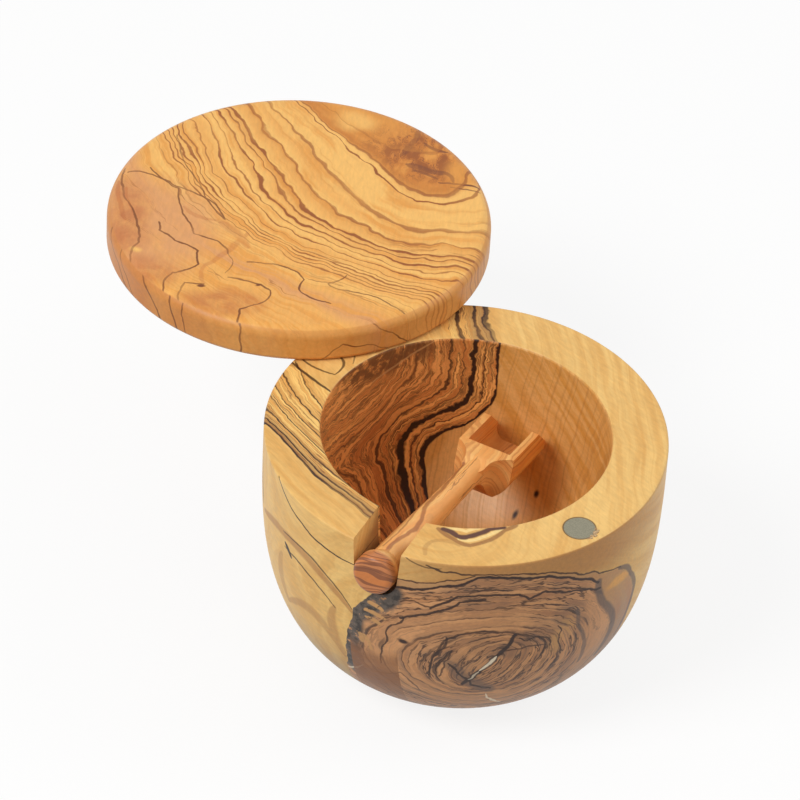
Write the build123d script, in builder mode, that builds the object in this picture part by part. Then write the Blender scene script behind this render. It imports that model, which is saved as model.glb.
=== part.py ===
from build123d import *
from math import cos, radians, sin, sqrt, tan
import os

os.makedirs("parts", exist_ok=True)

# A turned salt keeper: a thick bowl, a round lid that swings about an upright pin in the wall, a magnet
# closure opposite the pin, and a scoop that lies in a slot through the wall.
# Millimetres. The origin is the centre of the base, +Z is up and +Y points to the pin.

# Bowl: the outline's radii are given as insets from the rim
rim_radius = 52.0
bowl_height = 68.6
flank_inset = 0.4
flank_height = 44.5
belly_inset = 2.8
belly_height = 27.4
haunch_inset = 10.8
haunch_height = 10.3
foot_inset = 23.8
foot_slope = 0.5
foot_round = 1.5
wall_thickness = 14.5
cavity_depth = 54.0
cavity_draft = 0.9
cavity_corner_round = 24.0
rim_round = 0.7
mouth_radius = rim_radius - wall_thickness
cavity_floor_radius = mouth_radius - cavity_draft

# Slot through the wall, where the scoop's handle lies
slot_azimuth = -153.8
slot_width = 13.2
slot_floor_width = 12.0
slot_depth = 15.2

# Lid, a little narrower than the rim and stored swung open
lid_inset = 0.7
lid_thickness = 10.0
lid_top_round = 3.0
lid_bottom_round = 1.2
lid_swing = 165.0
lid_gap = 0.3
lid_radius = rim_radius - lid_inset

# Pin
pivot_inset = 7.4
pin_radius = 2.5
pin_seat_depth = 20.0
pin_reach = 6.5
pin_end_chamfer = 0.4
pin_running_clearance = 0.05
pin_end_clearance = 0.5
pivot_radius = rim_radius - pivot_inset

# Magnets
magnet_inset = 6.1
magnet_radius = 4.0
magnet_thickness = 2.0
glue_gap = 0.05
magnet_circle_radius = rim_radius - magnet_inset

# Spoon
spoon_overhang = 2.3
spoon_dip = 10.0
spoon_roll = 3.0
spoon_rest_gap = 0.3
spoon_lip_gap = 0.3
knob_radius = 5.45
knob_length = 4.4
knob_round = 1.6
knob_neck_length = 3.0
handle_radius = 4.1
waist_radius = 3.1
waist_to_scoop = 11.5

# Scoop end of the spoon
scoop_rise = 3.25
scoop_width = 16.0
scoop_height = 12.0
scoop_top_length = 16.3
scoop_length = 23.2
scoop_lip_drop = 5.5
scoop_wall = 2.0
scoop_floor = 1.8
scoop_keel_round = 5.0

# Neck, where the handle widens into the scoop
neck_length = 9.5
neck_width = 4.6
neck_top_drop = 1.1
neck_depth = 4.2
neck_flat_length = 3.5
neck_shoulder = 7.6
shoulder_width = 6.2
shoulder_reach = 0.4

# Bowl: the turned body, hollowed, with the slot, the pin's hole and the magnet's pocket
with BuildPart() as bowl:
    with BuildSketch(Plane.XZ) as body_profile:
        with BuildLine():
            wall = Spline(
                (rim_radius, bowl_height),
                (rim_radius - flank_inset, flank_height),
                (rim_radius - belly_inset, belly_height),
                (rim_radius - haunch_inset, haunch_height),
                (rim_radius - foot_inset, 0),
                tangents=((0, -1), (-1, -foot_slope)),
            )
            Polyline(wall @ 1, (0, 0), (0, bowl_height), wall @ 0)
        make_face()
    revolve(axis=Axis.Z)
    with BuildSketch(Plane.XZ) as cavity_profile:
        with BuildLine():
            Polyline(
                (0, bowl_height),
                (0, bowl_height - cavity_depth),
                (cavity_floor_radius, bowl_height - cavity_depth),
                (mouth_radius, bowl_height),
                close=True,
            )
        make_face()
        fillet(cavity_profile.vertices().group_by(Axis.Y)[0].sort_by(Axis.X)[-1], cavity_corner_round)
    revolve(axis=Axis.Z, mode=Mode.SUBTRACT)
    fillet(bowl.edges().group_by(Axis.Z)[-1], rim_round)
    fillet(bowl.edges().group_by(Axis.Z)[0], foot_round)
    slot_outward = Vector(1, 0, 0).rotate(Axis.Z, slot_azimuth)
    slot_plane = Plane(origin=(0, 0, bowl_height), x_dir=slot_outward.rotate(Axis.Z, 90), z_dir=slot_outward)
    with BuildSketch(slot_plane) as slot_profile:
        with BuildLine():
            floor_arc = ThreePointArc(
                (-slot_floor_width / 2, slot_floor_width / 2 - slot_depth),
                (0, -slot_depth),
                (slot_floor_width / 2, slot_floor_width / 2 - slot_depth),
            )
            Polyline(floor_arc @ 1, (slot_width / 2, 0), (-slot_width / 2, 0), floor_arc @ 0)
        make_face()
    extrude(amount=rim_radius + slot_width, mode=Mode.SUBTRACT)
    with Locations((0, pivot_radius, bowl_height)):
        Hole(pin_radius + glue_gap, depth=pin_seat_depth)
    with Locations((0, -magnet_circle_radius, bowl_height)):
        Hole(magnet_radius + glue_gap, depth=magnet_thickness)
bowl.part.label = "bowl"
export_step(bowl.part, "parts/bowl.step")

# Pivot pin: a dowel glued into the wall, standing up into the lid
with BuildPart() as pivot_pin:
    with BuildSketch(Plane.XY.offset(bowl_height - pin_seat_depth)):
        with Locations((0, pivot_radius)):
            Circle(pin_radius)
    extrude(amount=pin_seat_depth + lid_gap + pin_reach)
    chamfer(pivot_pin.edges().filter_by(GeomType.CIRCLE), pin_end_chamfer)
pivot_pin.part.label = "pivot_pin"
export_step(pivot_pin.part, "parts/pivot_pin.step")

# Magnet in the rim, flush with it
with BuildPart() as bowl_magnet:
    with BuildSketch(Plane.XY.offset(bowl_height - magnet_thickness)):
        with Locations((0, -magnet_circle_radius)):
            Circle(magnet_radius)
    extrude(amount=magnet_thickness)
bowl_magnet.part.label = "bowl_magnet"
export_step(bowl_magnet.part, "parts/bowl_magnet.step")

# Lid: its plane is the closed lid's, turned about the pin, so its hole and pocket sit as when it is shut
pivot_point = Vector(0, pivot_radius, 0)
lid_centre = pivot_point - pivot_point.rotate(Axis.Z, lid_swing)
lid_plane = Plane(
    origin=lid_centre + Vector(0, 0, bowl_height + lid_gap),
    x_dir=Vector(1, 0, 0).rotate(Axis.Z, lid_swing),
    z_dir=(0, 0, 1),
)
with BuildPart() as lid:
    with BuildSketch(lid_plane):
        Circle(lid_radius)
    extrude(amount=lid_thickness)
    fillet(lid.edges().group_by(Axis.Z)[-1], lid_top_round)
    fillet(lid.edges().group_by(Axis.Z)[0], lid_bottom_round)
    with BuildSketch(lid_plane):
        with Locations((0, pivot_radius)):
            Circle(pin_radius + pin_running_clearance)
    extrude(amount=pin_reach + pin_end_clearance, mode=Mode.SUBTRACT)
    with BuildSketch(lid_plane):
        with Locations((0, -magnet_circle_radius)):
            Circle(magnet_radius + glue_gap)
    extrude(amount=magnet_thickness, mode=Mode.SUBTRACT)
lid.part.label = "lid"
export_step(lid.part, "parts/lid.step")

# Magnet in the lid's underside
with BuildPart() as lid_magnet:
    with BuildSketch(lid_plane):
        with Locations((0, -magnet_circle_radius)):
            Circle(magnet_radius)
    extrude(amount=magnet_thickness)
lid_magnet.part.label = "lid_magnet"
export_step(lid_magnet.part, "parts/lid_magnet.step")

# Spoon: its plane starts at the middle of the knob's end face, X along the handle and Z up from it.
# The handle rests on the inner edge of the slot's floor and dips until the scoop's lip meets the far wall.
dip = radians(spoon_dip)
spoon_yaw = slot_azimuth + 180
spoon_end_radius = rim_radius + spoon_overhang
spoon_rest_height = bowl_height - slot_depth + spoon_rest_gap + handle_radius / cos(dip)
spoon_end_height = spoon_rest_height + (spoon_end_radius - mouth_radius) * tan(dip)
lip_reach = sqrt((cavity_floor_radius - spoon_lip_gap) ** 2 - (scoop_width / 2) ** 2)
lip_rise = scoop_rise - scoop_lip_drop
handle_length = (spoon_end_radius + lip_reach - lip_rise * sin(dip)) / cos(dip) - scoop_length
spoon_end = slot_outward * spoon_end_radius + Vector(0, 0, spoon_end_height)
spoon_along = Vector(1, 0, 0).rotate(Axis.Y, spoon_dip).rotate(Axis.Z, spoon_yaw)
spoon_up = Vector(0, 0, 1).rotate(Axis.X, spoon_roll).rotate(Axis.Y, spoon_dip).rotate(Axis.Z, spoon_yaw)
spoon_plane = Plane(origin=spoon_end, x_dir=spoon_along, z_dir=spoon_up)
side_plane = Plane(origin=spoon_end, x_dir=spoon_along, z_dir=spoon_along.cross(spoon_up))
scoop_heel = spoon_end + spoon_along * handle_length + spoon_up * scoop_rise
scoop_side_plane = Plane(origin=scoop_heel, x_dir=spoon_along, z_dir=side_plane.z_dir)
scoop_end_plane = Plane(origin=scoop_heel, x_dir=spoon_up.cross(spoon_along), z_dir=spoon_along)
scoop_top_plane = Plane(origin=scoop_heel, x_dir=spoon_along, z_dir=spoon_up)
with BuildPart() as spoon:
    # Scoop and neck: the side view drawn through the full width, then trimmed to the trough's section
    # and to the outline seen from above, whose neck sweeps in to the handle
    with BuildSketch(scoop_side_plane) as scoop_side:
        with BuildLine():
            rim_line = Polyline(
                (-neck_flat_length, 0),
                (scoop_top_length, 0),
                (scoop_length, -scoop_lip_drop),
                (scoop_length, -scoop_height),
                (0, -scoop_height),
            )
            neck_under = Spline(
                rim_line @ 1,
                (-neck_length, -neck_top_drop - neck_depth),
                tangents=((-1, 0), (-1, 0)),
            )
            neck_top = Spline(
                (-neck_length, -neck_top_drop),
                rim_line @ 0,
                tangents=((1, 0), (1, 0)),
            )
            Line(neck_under @ 1, neck_top @ 0)
        make_face()
    extrude(amount=scoop_width / 2, both=True)
    with BuildSketch(scoop_end_plane.offset(-neck_length)) as trough_section:
        Rectangle(scoop_width, scoop_height, align=(Align.CENTER, Align.MAX))
        fillet(trough_section.vertices().group_by(Axis.Y)[0], scoop_keel_round)
    extrude(amount=neck_length + scoop_length, mode=Mode.INTERSECT)
    with BuildSketch(scoop_top_plane) as scoop_outline:
        with BuildLine():
            far_side = Polyline(
                (scoop_length, 0),
                (scoop_length, scoop_width / 2),
                (shoulder_reach, scoop_width / 2),
            )
            sweep_in = TangentArc((-neck_shoulder, shoulder_width / 2), far_side @ 1, tangent=(1, 0))
            neck_side = Polyline(
                sweep_in @ 0,
                (-neck_length, neck_width / 2),
                (-neck_length, 0),
            )
            mirror(about=Plane.XZ)
        make_face()
    extrude(amount=-scoop_height, mode=Mode.INTERSECT)
    # Handle, turned about its own axis, with a knob at one end
    with BuildSketch(side_plane) as handle_profile:
        with BuildLine():
            shank = Spline(
                (knob_length + knob_neck_length, handle_radius),
                (handle_length - waist_to_scoop, waist_radius),
                tangents=((1, 0), (1, 0)),
            )
            Polyline(
                shank @ 1,
                (handle_length + scoop_wall / 2, waist_radius),
                (handle_length + scoop_wall / 2, 0),
                (0, 0),
                (0, knob_radius),
                (knob_length, knob_radius),
                shank @ 0,
            )
        make_face()
        fillet(handle_profile.vertices().group_by(Axis.Y)[-1], knob_round)
    revolve(axis=Axis(spoon_end, spoon_along))
    # Hollow of the scoop, open at its far end
    with BuildSketch(scoop_end_plane.offset(scoop_wall)) as hollow_section:
        Rectangle(
            scoop_width - 2 * scoop_wall,
            scoop_height - scoop_floor,
            align=(Align.CENTER, Align.MAX),
        )
        fillet(hollow_section.vertices().group_by(Axis.Y)[0], scoop_keel_round - scoop_floor)
    extrude(amount=scoop_length, mode=Mode.SUBTRACT)
spoon.part.label = "spoon"
export_step(spoon.part, "parts/spoon.step")
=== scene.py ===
import math

import bmesh
import bpy
import mathutils.noise
from mathutils import Matrix, Vector


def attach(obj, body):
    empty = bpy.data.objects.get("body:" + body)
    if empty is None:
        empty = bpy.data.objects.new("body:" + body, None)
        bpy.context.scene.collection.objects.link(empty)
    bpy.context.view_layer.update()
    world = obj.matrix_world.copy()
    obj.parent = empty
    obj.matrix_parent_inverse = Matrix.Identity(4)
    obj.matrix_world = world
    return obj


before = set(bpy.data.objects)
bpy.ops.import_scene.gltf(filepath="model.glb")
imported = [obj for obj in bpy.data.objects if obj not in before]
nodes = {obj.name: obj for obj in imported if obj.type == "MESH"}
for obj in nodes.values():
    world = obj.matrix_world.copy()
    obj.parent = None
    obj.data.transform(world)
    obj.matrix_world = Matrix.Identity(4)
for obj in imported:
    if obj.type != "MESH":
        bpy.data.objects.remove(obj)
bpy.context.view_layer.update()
scene = bpy.context.scene
mm = 0.001
origin = (0, 0, 0)
flatten = (1, 1, 0)  # drops a point's height
drawing = {"tree": None, "colours": {}}  # the node tree that is being built, and its colours by name
print("frame loaded:", ", ".join(sorted(nodes)))


def tint(red, green, blue):  # a colour given as 0-255 on screen
    def toLinear(value):
        value /= 255
        return value / 12.92 if value <= 0.04045 else ((value + 0.055) / 1.055) ** 2.4
    return (toLinear(red), toLinear(green), toLinear(blue), 1)


def feed(value, socket):  # links a socket, or sets a plain value or a colour by its name
    if isinstance(value, bpy.types.NodeSocket):
        socket.id_data.links.new(value, socket)
    else:
        socket.default_value = drawing["colours"][value] if isinstance(value, str) else value


def feedNamed(node, values):
    for name, value in values.items():
        if value is not None:
            feed(value, node.inputs[name])


def add(kind, *values, **settings):  # a new node, with its settings and its first inputs
    node = drawing["tree"].nodes.new("ShaderNode" + kind)
    for name, setting in settings.items():
        setattr(node, name, setting)
    for value, socket in zip(values, node.inputs):
        feed(value, socket)
    return node


def calc(operation, *values):
    return add("Math", *values, operation=operation).outputs[0]


def plus(first, second):
    return calc("ADD", first, second)


def minus(first, second):
    return calc("SUBTRACT", first, second)


def times(*values):  # numbers or masks multiplied together
    total = values[0]
    for value in values[1:]:
        total = calc("MULTIPLY", total, value)
    return total


def strongest(values):
    total = values[0]
    for value in values[1:]:
        total = calc("MAXIMUM", total, value)
    return total


def held(value, low=0, high=1):  # keeps a number between two others
    return calc("MINIMUM", calc("MAXIMUM", value, low), high)


def opposite(value):
    return minus(1, value)


def vector(operation, *values):
    node = add("VectorMath", *values, operation=operation)
    return node.outputs["Value" if operation in ("LENGTH", "DOT_PRODUCT", "DISTANCE") else "Vector"]


def less(first, second):  # one place or direction less another
    return vector("SUBTRACT", first, second)


def length(value):
    return vector("LENGTH", value)


def dot(first, second):
    return vector("DOT_PRODUCT", first, second)


def scaled(value, factor):
    node = add("VectorMath", value, operation="SCALE")
    feed(factor, node.inputs["Scale"])
    return node.outputs["Vector"]


def turned(value, axis, angle):
    node = add("VectorRotate", value, rotation_type=axis)
    feed(angle, node.inputs["Angle"])
    return node.outputs[0]


def parts(value):
    return tuple(add("SeparateXYZ", value).outputs)


def joined(x, y, z):
    return add("CombineXYZ", x, y, z).outputs[0]


def flattened(place):
    return vector("MULTIPLY", place, flatten)


# across is one more direction that the noise varies in, used by the kinds 4D and 1D
def noise(place, scale, detail=2, roughness=0.5, across=None, kind="3D", colour=False):
    node = add("TexNoise", noise_dimensions=kind)
    feedNamed(node, {"Vector": place, "W": across, "Scale": scale, "Detail": detail, "Roughness": roughness})
    return node.outputs["Color" if colour else "Fac"]


def step(value, low, high, toLow=0, toHigh=1, soft=True):  # toLow at low, toHigh at high
    node = add("MapRange", value, low, high, toLow, toHigh,
        interpolation_type="SMOOTHSTEP" if soft else "LINEAR", clamp=False)
    return node.outputs[0] if soft else held(node.outputs[0], min(toLow, toHigh), max(toLow, toHigh))


def blend(factor, first, second, kind="MIX"):
    node = add("Mix", data_type="RGBA", blend_type=kind)
    for value, number in ((factor, 0), (first, 6), (second, 7)):  # the colour sockets of this node
        feed(value, node.inputs[number])
    return node.outputs[2]


def paint(under, colour, *amounts):  # lays a colour over another, as far as all the amounts let it
    return blend(times(*amounts), under, colour)


def shadeBy(colour, amount):  # multiplies a colour by a number
    return blend(1, colour, joined(amount, amount, amount), "MULTIPLY")


def ramp(value, stops):  # stops: a place and the name of its colour
    node = add("ValToRGB", value)
    points = node.color_ramp.elements
    while len(points) < len(stops):
        points.new(0.5)
    for point, (place, colour) in zip(points, sorted(stops)):
        point.position = place
        point.color = drawing["colours"][colour]
    return node.outputs[0]


def socketKind(isVector):
    return "NodeSocketVector" if isVector else "NodeSocketFloat"


def shared(name, **inputs):  # builds the function under it once, as a node group of that name
    def build(effect):
        tree = drawing["tree"] = bpy.data.node_groups.new(name, "ShaderNodeTree")
        sockets = tree.interface
        for label, value in inputs.items():
            kind = socketKind(isinstance(value, tuple))
            sockets.new_socket(name=label, in_out="INPUT", socket_type=kind).default_value = value
        start, end = tree.nodes.new("NodeGroupInput"), tree.nodes.new("NodeGroupOutput")
        for label, value in effect(start.outputs).items():
            sockets.new_socket(name=label, in_out="OUTPUT",
                socket_type=socketKind(label in ("Place", "Flat")))
            feed(value, end.inputs[label])
        return tree
    return build


def useGroup(group, **values):
    node = add("Group", node_tree=group)
    feedNamed(node, values)
    return node.outputs


@shared("placeInMillimetres", Centre=origin, Turn=0.0)
def placeGroup(get):  # where a point is, in millimetres from a centre, turned about the upright axis
    point = add("TexCoord").outputs["Object"]
    moved = less(scaled(point, 1 / mm), get["Centre"])
    return {"Place": turned(moved, "Z_AXIS", get["Turn"])}


@shared("woodWarp", Place=origin, SlowSize=30.0, SlowAmount=4.0, QuickSize=7.0, QuickAmount=1.0, FineSize=1.6,
    FineAmount=0.3, Seed=origin)
def warpGroup(get):  # bends a place by slow, quick and fine noise
    shifted = vector("ADD", get["Place"], get["Seed"])
    total = get["Place"]
    for bend in ("Slow", "Quick", "Fine"):
        bent = noise(shifted, calc("DIVIDE", 1, get[bend + "Size"]), 1, colour=True)
        centred = less(bent, (0.5, 0.5, 0.5))
        total = vector("ADD", total, scaled(centred, times(get[bend + "Amount"], 2)))
    return {"Place": total}


@shared("growthRings", Place=origin, Pith=origin, Drift=origin, Turn=0.0, Stretch=(1, 1, 1), Lean=origin,
    Radius=30.0, Taper=0.0)
def ringsGroup(get):  # growth rings round a leaning pith, as one number that is 1 at the rim of the heart
    fromPith = less(get["Place"], get["Pith"])
    along = parts(fromPith)[1]
    offset = less(fromPith, scaled(get["Drift"], along))
    flat = vector("MULTIPLY", offset, (1, 0, 1))
    across = vector("MULTIPLY", turned(flat, "Y_AXIS", get["Turn"]), get["Stretch"])
    distance = plus(length(across), dot(flat, get["Lean"]))
    growth = times(get["Radius"], calc("MULTIPLY_ADD", get["Taper"], along, 1))
    return {"Rings": calc("DIVIDE", distance, growth)}


@shared("figureStreaks", Place=origin, Across=0.0, Length=25.0, Width=0.03, Amount=0.5, Seed=0.0)
def streaksGroup(get):  # streaks along the grain: a tone, dark lines that split and join, and fine ones
    along = scaled(get["Place"], calc("DIVIDE", 1, get["Length"]))
    across = plus(get["Across"], get["Seed"])

    def layer(shorter, stretch, shift, detail, roughness):  # like the tone, elsewhere and at another scale
        return noise(scaled(along, shorter), 1, detail, roughness,
            calc("MULTIPLY_ADD", across, stretch, shift), "4D")

    tone = noise(along, 1, 3, 0.6, across, "4D")
    away = calc("ABSOLUTE", minus(tone, 0.5))
    core = step(away, times(get["Width"], 0.3), get["Width"], 1, 0)
    level = layer(0.8, 0.35, 50, 1, 0.5)
    low = calc("MULTIPLY_ADD", get["Amount"], -0.6, 0.75)
    line = times(core, step(level, low, plus(low, 0.16)))
    return {"Tone": tone, "Line": line, "Fine": layer(0.6, 3.1, 90, 2, 0.6)}


@shared("ringLine", Rings=0.0, At=0.5, Width=0.01, Fade=0.05)
def ringLineGroup(get):  # one dark line along the grain, with a band of colour that fades to one side of it
    away = minus(get["Rings"], get["At"])
    half = times(get["Width"], 0.5)
    line = step(calc("ABSOLUTE", away), times(half, 0.45), half, 1, 0)
    share = calc("DIVIDE", away, get["Fade"])
    fading = calc("POWER", held(opposite(share)), 1.6)
    return {"Line": line, "Band": times(fading, calc("GREATER_THAN", share, 0))}


@shared("drawnLine", Place=origin, From=origin, To=(1, 0, 0), Bow=origin, Width=0.5, Thinning=0.6)
def strokeGroup(get):  # a line from one point to another that bows to one side and thins towards its ends
    run = less(get["To"], get["From"])
    fromStart = less(get["Place"], get["From"])
    share = held(calc("DIVIDE", dot(fromStart, run), dot(run, run)))
    swell = times(share, opposite(share), 4)
    onLine = vector("ADD", scaled(run, share), scaled(get["Bow"], swell))
    away = less(fromStart, onLine)
    narrow = times(get["Thinning"], opposite(calc("POWER", swell, 0.5)))
    half = times(get["Width"], opposite(narrow), 0.5)
    return {"Line": step(length(away), times(half, 0.55), times(half, 1.25), 1, 0)}


@shared("unrolledWall", Place=origin, Facing=0.0, Radius=50.0)
def unrolledGroup(get):  # a turned wall laid flat: millimetres round it from the way it faces, and height
    x, y, z = parts(turned(get["Place"], "Z_AXIS", times(get["Facing"], -1)))
    around = times(calc("ARCTAN2", y, x), get["Radius"])
    return {"Around": around, "Flat": joined(around, z, 0)}


@shared("fibres", Place=origin, Along=(1, 0.06, 1), Size=0.9)
def fibreGroup(get):  # fine fibres and pores, long along one direction
    long = vector("MULTIPLY", get["Place"], get["Along"])
    scale = calc("DIVIDE", 1, get["Size"])
    fine = noise(long, scale, 3, 0.6)
    pore = step(noise(long, times(scale, 2.2), 1), 0.66, 0.78)
    return {"Fibre": fine, "Pore": pore, "Cloud": noise(long, times(scale, 0.09))}


print("shared effects built")


def newMaterial(name, colours=()):
    material = bpy.data.materials.new(name)
    material.use_nodes = True
    drawing["tree"] = material.node_tree
    drawing["colours"] = {label: tint(*colour) for label, colour in dict(colours).items()}
    return material, material.node_tree.nodes["Principled BSDF"]


def finishPiece(piece, material):
    for slot in piece.material_slots:
        slot.material = material
    if not piece.material_slots:
        piece.data.materials.append(material)


def warped(place, slow, quick, fine, seed=origin):  # size and amount of each bend
    values = {"Place": place, "Seed": seed}
    for name, (size, amount) in (("Slow", slow), ("Quick", quick), ("Fine", fine)):
        values[name + "Size"], values[name + "Amount"] = size, amount
    return useGroup(warpGroup, **values)["Place"]


def unrolled(place, facing, radius):
    return useGroup(unrolledGroup, Place=place, Facing=facing, Radius=radius)


def streaked(place, rings, density, length, width, amount, seed):
    return useGroup(streaksGroup, Place=place, Across=times(rings, density), Length=length, Width=width,
        Amount=amount, Seed=seed)


def strokes(place, lines, thinning=0.6):  # lines: from, to, bow to the left, width, strength
    drawn = []
    for (x0, y0), (x1, y1), bow, width, strength in lines:
        reach = math.hypot(x1 - x0, y1 - y0)
        aside = ((y0 - y1) * bow / reach, (x1 - x0) * bow / reach, 0)
        line = useGroup(strokeGroup, Place=place, From=(x0, y0, 0), To=(x1, y1, 0), Bow=aside, Width=width,
            Thinning=thinning)["Line"]
        drawn.append(times(line, strength))
    return strongest(drawn)


def trails(place, paths):  # paths: points, the bow of each run between them, width, strength
    drawn = []
    for points, bows, width, strength in paths:
        runs = [(first, second, bow, width, strength) for first, second, bow in zip(points, points[1:], bows)]
        drawn.append(strokes(place, runs, 0.15))
    return strongest(drawn)


def heightAlong(value, points):  # a height drawn over a width, both in millimetres
    tallest = 100
    node = add("FloatCurve")
    low, high = points[0][0], points[-1][0]
    curve = node.mapping.curves[0]
    while len(curve.points) < len(points):
        curve.points.new(0.5, 0.5)
    for point, (across, up) in zip(curve.points, points):
        point.location = ((across - low) / (high - low), up / tallest)
        point.handle_type = "VECTOR"
    node.mapping.update()
    feed(step(value, low, high, soft=False), node.inputs["Value"])
    return times(node.outputs[0], tallest)


def spots(place, ovals):  # a mask that is 1 inside ovals: middle, radii, softness of the rim
    drawn = []
    for middle, radii, soft in ovals:
        away = vector("DIVIDE", less(place, middle + (0,)), radii + (1000,))
        drawn.append(step(length(away), 1 + soft, 1 - soft))
    return strongest(drawn)


def near(place, middle, far, close):  # a mask that is 1 in a ball round a point
    return step(vector("DISTANCE", place, middle), far, close)


def paintRingLines(wood, rings, lines, bandColour, lineColour, swell, fades=(), lineFades=()):
    for at, width, strength, reach, shade in lines:
        line = useGroup(ringLineGroup, Rings=rings, At=at, Width=times(swell, width), Fade=reach)
        wood = paint(wood, bandColour, line["Band"], shade, *fades)
        wood = paint(wood, lineColour, line["Line"], *lineFades, strength, *fades)
    return wood


def paintGrain(streaks, light, dark, line, lineAmount, tones=(0.36, 0.64)):
    return paint(blend(step(streaks["Tone"], *tones), light, dark), line, streaks["Line"], lineAmount)


def relief(shader, height, strength, depth):
    bump = add("Bump")
    feedNamed(bump, {"Strength": strength, "Distance": depth, "Height": height})
    feed(bump.outputs["Normal"], shader.inputs["Normal"])


def finishWood(shader, wood, fibre, look):  # the fibres in the colour and the gloss, under a thin coat of oil
    tone = step(fibre["Fibre"], 0.3, 0.7, *look["tone"], soft=False)
    feedNamed(shader, {"Base Color": shadeBy(wood, tone),
        "Roughness": step(fibre["Fibre"], 0.2, 0.8, *look["gloss"], soft=False),
        "Specular IOR Level": look["specular"], "Coat Weight": look["coat"],
        "Coat Roughness": look["coatRoughness"]})


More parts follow.
